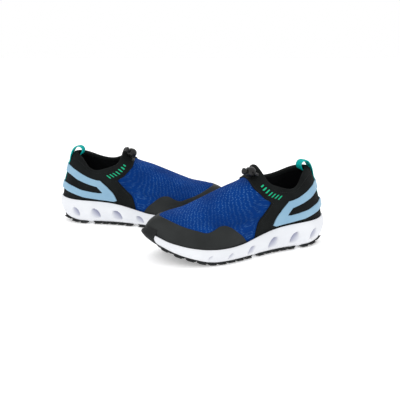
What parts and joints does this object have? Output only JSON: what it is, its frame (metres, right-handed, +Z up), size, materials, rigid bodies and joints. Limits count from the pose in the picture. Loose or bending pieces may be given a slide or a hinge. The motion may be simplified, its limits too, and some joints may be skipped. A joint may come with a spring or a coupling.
{
  "type": "water shoes",
  "caption": "Pair of low slip-on water shoes: knit vamp, neoprene collar with cord lock, heel overlay with pull tape, cupped foam midsole on rubber tread pads.",
  "frame": {"origin": "centre of the pair's bounding box, at floor level", "axes": "+Z up; +X to the viewer's right, along the pair; the toes point to -X on the left shoe and +X on the right shoe; the lateral sides face -Y"},
  "size_m": [0.388, 0.256, 0.1159],
  "materials": {
    "tread_rubber": "matt textured black rubber",
    "midsole_foam": "moulded white foam with a fine skin",
    "vamp_knit": "blue mesh knit with lighter flecks",
    "cap_film": "fused charcoal film, fine grain",
    "saddle_neoprene": "smooth charcoal neoprene",
    "lining_fabric": "black jersey",
    "board_fibre": "non-woven board",
    "collar_padding": "open-cell foam",
    "overlay_film": "satin pale blue moulded film",
    "teal_webbing": "woven tape",
    "teal_print": "printed film",
    "cord_black": "braided cord",
    "lock_plastic": "satin black plastic",
    "spring_steel": "spring wire"
  },
  "bodies": {
    "left_shoe": {"left_outsole_forefoot": "tread_rubber", "left_outsole_waist": "tread_rubber", "left_outsole_heel": "tread_rubber", "left_toe_bumper": "tread_rubber", "left_midsole": "midsole_foam", "left_strobel_board": "board_fibre", "left_insole": "lining_fabric", "left_lining_sock": "lining_fabric", "left_heel_counter": "board_fibre", "left_collar_foam": "collar_padding", "left_vamp": "vamp_knit", "left_toe_cap": "cap_film", "left_collar_saddle": "saddle_neoprene", "left_collar_mark": "teal_print", "left_heel_overlay": "overlay_film", "left_pull_tape": "teal_webbing", "left_drawcord": "cord_black", "left_cord_end": "lock_plastic"},
    "left_cord_lock": {"left_lock_barrel": "lock_plastic", "left_lock_spring": "spring_steel"},
    "left_lock_button": {"left_lock_button": "lock_plastic"},
    "right_shoe": {"right_outsole_forefoot": "tread_rubber", "right_outsole_waist": "tread_rubber", "right_outsole_heel": "tread_rubber", "right_toe_bumper": "tread_rubber", "right_midsole": "midsole_foam", "right_strobel_board": "board_fibre", "right_insole": "lining_fabric", "right_lining_sock": "lining_fabric", "right_heel_counter": "board_fibre", "right_collar_foam": "collar_padding", "right_vamp": "vamp_knit", "right_toe_cap": "cap_film", "right_collar_saddle": "saddle_neoprene", "right_collar_mark": "teal_print", "right_heel_overlay": "overlay_film", "right_pull_tape": "teal_webbing", "right_drawcord": "cord_black", "right_cord_end": "lock_plastic"},
    "right_cord_lock": {"right_lock_barrel": "lock_plastic", "right_lock_spring": "spring_steel"},
    "right_lock_button": {"right_lock_button": "lock_plastic"}
  },
  "joints": [
    {"name": "right_shoe_lift", "type": "slide", "parent": "left_shoe", "child": "right_shoe", "axis": [0, 0, 1], "range_m": [0, 0.2]},
    {"name": "left_cord_lock_slide", "type": "slide", "parent": "left_shoe", "child": "left_cord_lock", "axis": [0.3907, -0.9205, 0], "range_m": [0, 0.005]},
    {"name": "left_lock_button_press", "type": "slide", "parent": "left_cord_lock", "child": "left_lock_button", "axis": [0.907, 0.385, -0.1709], "range_m": [0, 0.0024], "stiffness_N_per_m": 800, "springref_m": -0.001, "deforming": ["left_lock_spring"]},
    {"name": "right_cord_lock_slide", "type": "slide", "parent": "right_shoe", "child": "right_cord_lock", "axis": [0.1567, -0.8693, -0.4688], "range_m": [0, 0.005]},
    {"name": "right_lock_button_press", "type": "slide", "parent": "right_cord_lock", "child": "right_lock_button", "axis": [0.7082, 0.4297, -0.5602], "range_m": [0, 0.0024], "stiffness_N_per_m": 800, "springref_m": -0.001, "deforming": ["right_lock_spring"]}
  ]
}
